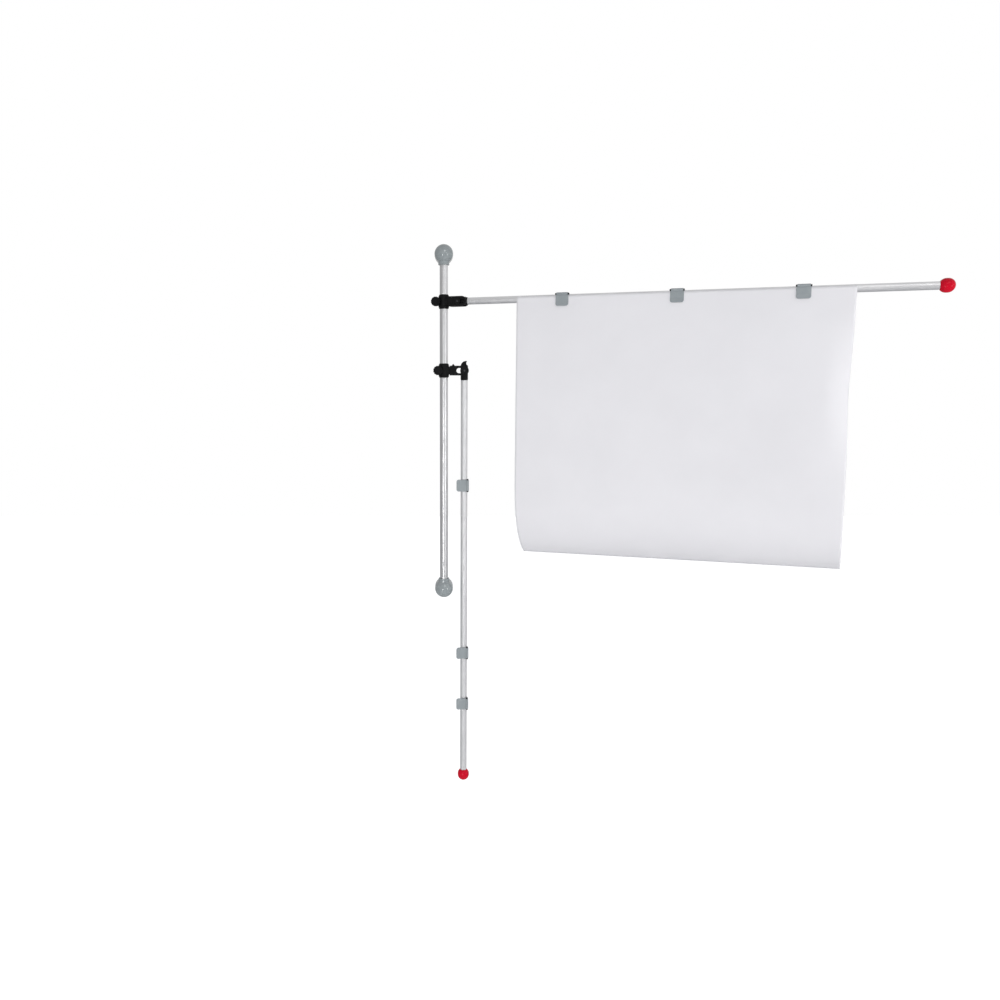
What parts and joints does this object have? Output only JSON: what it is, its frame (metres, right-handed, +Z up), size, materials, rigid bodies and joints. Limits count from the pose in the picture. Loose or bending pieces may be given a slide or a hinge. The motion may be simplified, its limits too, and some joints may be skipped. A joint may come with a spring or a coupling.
{
  "type": "plan hanging rack",
  "caption": "Wall-mounted rail with ball-shaped feet and folding swing arms on split-collar clamps, each arm carrying sheet clips, one with a plan hung from it.",
  "frame": {"origin": "on the wall plane, midway between the two wall-screw holes", "axes": "+Z up along the rail, +Y into the wall, +X to the right seen from the room"},
  "size_m": [1.018, 0.3937, 1.3005],
  "materials": {
    "anodised_aluminium": "satin anodised",
    "grey_plastic": "glossy moulded",
    "black_plastic": "satin glass-filled moulding",
    "bush_plastic": "smooth",
    "clip_plastic": "satin moulded",
    "red_plastic": "glossy moulded",
    "zinc_steel": "zinc plated",
    "black_steel": "blackened",
    "paper": "matte"
  },
  "bodies": {
    "root": {"rail_tube": "anodised_aluminium", "top_wall_foot": "grey_plastic", "top_ball_cap": "grey_plastic", "top_rail_plug": "bush_plastic", "bottom_wall_foot": "grey_plastic", "bottom_ball_cap": "grey_plastic", "bottom_rail_plug": "bush_plastic"},
    "upper_bush": {"upper_swivel_bush": "bush_plastic"},
    "upper_clamp": {"upper_clamp_fork": "black_plastic", "upper_clamp_nut": "zinc_steel"},
    "upper_knob": {"upper_clamp_knob": "black_plastic", "upper_clamp_screw": "zinc_steel", "upper_clamp_washer": "zinc_steel"},
    "upper_catch": {"upper_fork_catch": "black_plastic"},
    "upper_pivot": {"upper_pivot_pin": "black_steel", "upper_front_slider": "black_plastic", "upper_rear_slider": "black_plastic"},
    "upper_arm": {"upper_arm_knuckle": "black_plastic", "upper_arm_tube": "anodised_aluminium", "upper_end_cap": "red_plastic", "plan_sheet": "paper"},
    "upper_clip_1_body": {"upper_clip_1": "clip_plastic", "upper_clip_1_rod": "black_plastic"},
    "upper_clip_2_body": {"upper_clip_2": "clip_plastic", "upper_clip_2_rod": "black_plastic"},
    "upper_clip_3_body": {"upper_clip_3": "clip_plastic", "upper_clip_3_rod": "black_plastic"},
    "lower_bush": {"lower_swivel_bush": "bush_plastic"},
    "lower_clamp": {"lower_clamp_fork": "black_plastic", "lower_clamp_nut": "zinc_steel"},
    "lower_knob": {"lower_clamp_knob": "black_plastic", "lower_clamp_screw": "zinc_steel", "lower_clamp_washer": "zinc_steel"},
    "lower_catch": {"lower_fork_catch": "black_plastic"},
    "lower_pivot": {"lower_pivot_pin": "black_steel", "lower_front_slider": "black_plastic", "lower_rear_slider": "black_plastic"},
    "lower_arm": {"lower_arm_knuckle": "black_plastic", "lower_arm_tube": "anodised_aluminium", "lower_end_cap": "red_plastic"},
    "lower_clip_1_body": {"lower_clip_1": "clip_plastic", "lower_clip_1_rod": "black_plastic"},
    "lower_clip_2_body": {"lower_clip_2": "clip_plastic", "lower_clip_2_rod": "black_plastic"},
    "lower_clip_3_body": {"lower_clip_3": "clip_plastic", "lower_clip_3_rod": "black_plastic"}
  },
  "joints": [
    {"name": "upper_height_slide", "type": "slide", "parent": "root", "child": "upper_bush", "axis": [0, 0, 1], "range_m": [-0.105, 0.065]},
    {"name": "upper_swing", "type": "hinge", "parent": "upper_bush", "child": "upper_clamp", "pos_m": [0, -0.03, 0.2862], "axis": [0, 0, 1], "range_deg": [-160.25, 19.75]},
    {"name": "upper_knob_turn", "type": "hinge", "parent": "upper_clamp", "child": "upper_knob", "pos_m": [-0.01299, -0.02534, 0.2862], "axis": [-0.3379, -0.9412, 0], "range_deg": [0, 270]},
    {"name": "upper_catch_slide", "type": "slide", "parent": "upper_clamp", "child": "upper_catch", "axis": [0, 0, 1], "range_m": [0, 0.004]},
    {"name": "upper_pull_out", "type": "slide", "parent": "upper_clamp", "child": "upper_pivot", "axis": [0.9412, -0.3379, 0], "range_m": [0, 0.011]},
    {"name": "upper_fold", "type": "hinge", "parent": "upper_pivot", "child": "upper_arm", "pos_m": [0.03482, -0.0425, 0.2862], "axis": [0.3379, 0.9412, 0], "range_deg": [0, 75], "deforming": ["plan_sheet"]},
    {"name": "upper_clip_1_slide", "type": "slide", "parent": "upper_arm", "child": "upper_clip_1_body", "axis": [0.9412, -0.3379, 0], "range_m": [-0.08, 0.08]},
    {"name": "upper_clip_2_slide", "type": "slide", "parent": "upper_arm", "child": "upper_clip_2_body", "axis": [0.9412, -0.3379, 0], "range_m": [-0.08, 0.08]},
    {"name": "upper_clip_3_slide", "type": "slide", "parent": "upper_arm", "child": "upper_clip_3_body", "axis": [0.9412, -0.3379, 0], "range_m": [-0.08, 0.08]},
    {"name": "lower_height_slide", "type": "slide", "parent": "root", "child": "lower_bush", "axis": [0, 0, 1], "range_m": [-0.465, 0.1]},
    {"name": "lower_swing", "type": "hinge", "parent": "lower_bush", "child": "lower_clamp", "pos_m": [0, -0.03, 0.128], "axis": [0, 0, -1], "range_deg": [0, 180]},
    {"name": "lower_knob_turn", "type": "hinge", "parent": "lower_clamp", "child": "lower_knob", "pos_m": [-0.0138, -0.03, 0.128], "axis": [0, -1, 0], "range_deg": [0, 270]},
    {"name": "lower_catch_slide", "type": "slide", "parent": "lower_clamp", "child": "lower_catch", "axis": [0, 0, 1], "range_m": [-0.004, 0]},
    {"name": "lower_pull_out", "type": "slide", "parent": "lower_clamp", "child": "lower_pivot", "axis": [1, 0, 0], "range_m": [-0.011, 0]},
    {"name": "lower_fold", "type": "hinge", "parent": "lower_pivot", "child": "lower_arm", "pos_m": [0.048, -0.03, 0.128], "axis": [0, -1, 0], "range_deg": [0, 90]},
    {"name": "lower_clip_1_slide", "type": "slide", "parent": "lower_arm", "child": "lower_clip_1_body", "axis": [0, 0, -1], "range_m": [-0.15, 0.2]},
    {"name": "lower_clip_2_slide", "type": "slide", "parent": "lower_arm", "child": "lower_clip_2_body", "axis": [0, 0, -1], "range_m": [-0.1, 0.05]},
    {"name": "lower_clip_3_slide", "type": "slide", "parent": "lower_arm", "child": "lower_clip_3_body", "axis": [0, 0, -1], "range_m": [-0.05, 0.1]}
  ]
}
